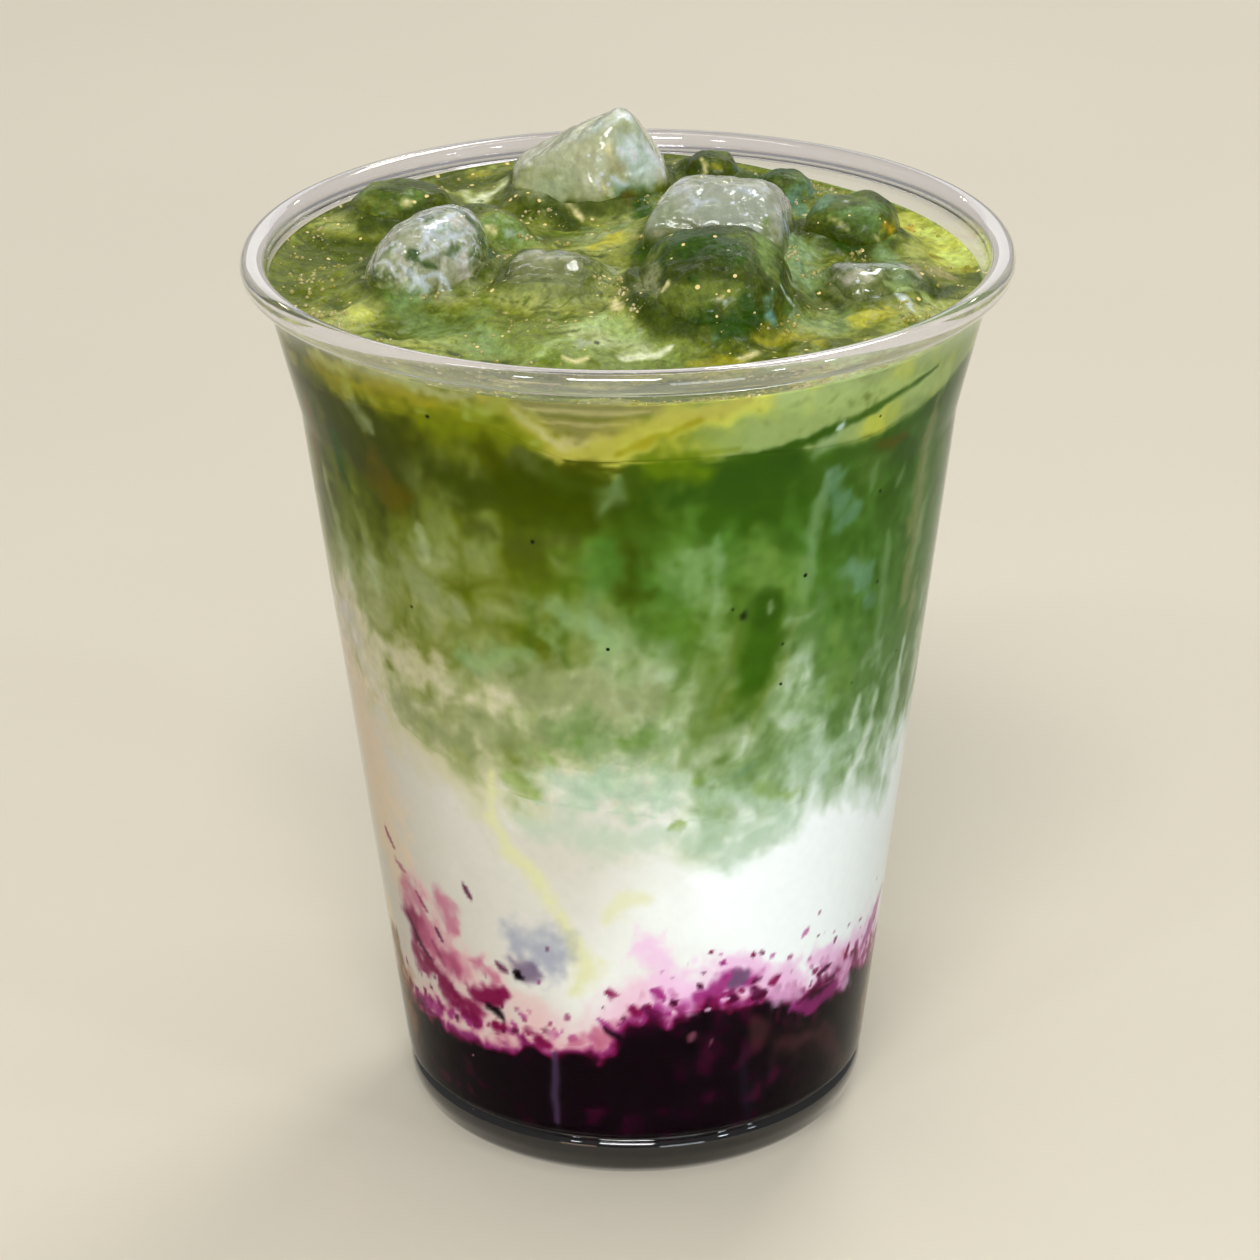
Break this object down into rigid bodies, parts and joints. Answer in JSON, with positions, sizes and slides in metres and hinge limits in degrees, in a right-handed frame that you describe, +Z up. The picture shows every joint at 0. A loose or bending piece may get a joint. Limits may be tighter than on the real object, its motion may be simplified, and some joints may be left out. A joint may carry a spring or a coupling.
{
  "type": "iced matcha latte",
  "caption": "Iced matcha latte in a clear flared tumbler, layered over milk and berry compote, with foam and lumps of ice on top.",
  "frame": {"origin": "centre of the tumbler's foot, on the surface it stands on", "axes": "+Z up through the mouth, -Y towards the front that the picture shows, +X to its right"},
  "size_m": [0.098, 0.098, 0.1258],
  "materials": {
    "cup": "thin clear plastic, very smooth",
    "berry": "dark wet berry compote",
    "milk": "smooth milk with pale streaks",
    "matcha": "cloudy green matcha with white wisps",
    "foam": "wet foam with small bubbles",
    "clear_ice": "cloudy cracked ice, wet",
    "coated_ice": "ice under a wet green coat"
  },
  "bodies": {
    "root": {"cup": "cup", "berry_layer": "berry", "milk_layer": "milk", "matcha_layer": "matcha", "foam_layer": "foam", "ice_peak": "clear_ice", "ice_left": "clear_ice", "ice_back_pale": "clear_ice", "ice_right_small": "clear_ice", "ice_centre": "clear_ice", "ice_front": "coated_ice", "ice_right_dome": "coated_ice", "ice_left_back": "coated_ice", "ice_back": "coated_ice", "ice_back_right": "coated_ice", "ice_left_inner": "coated_ice"}
  },
  "joints": []
}
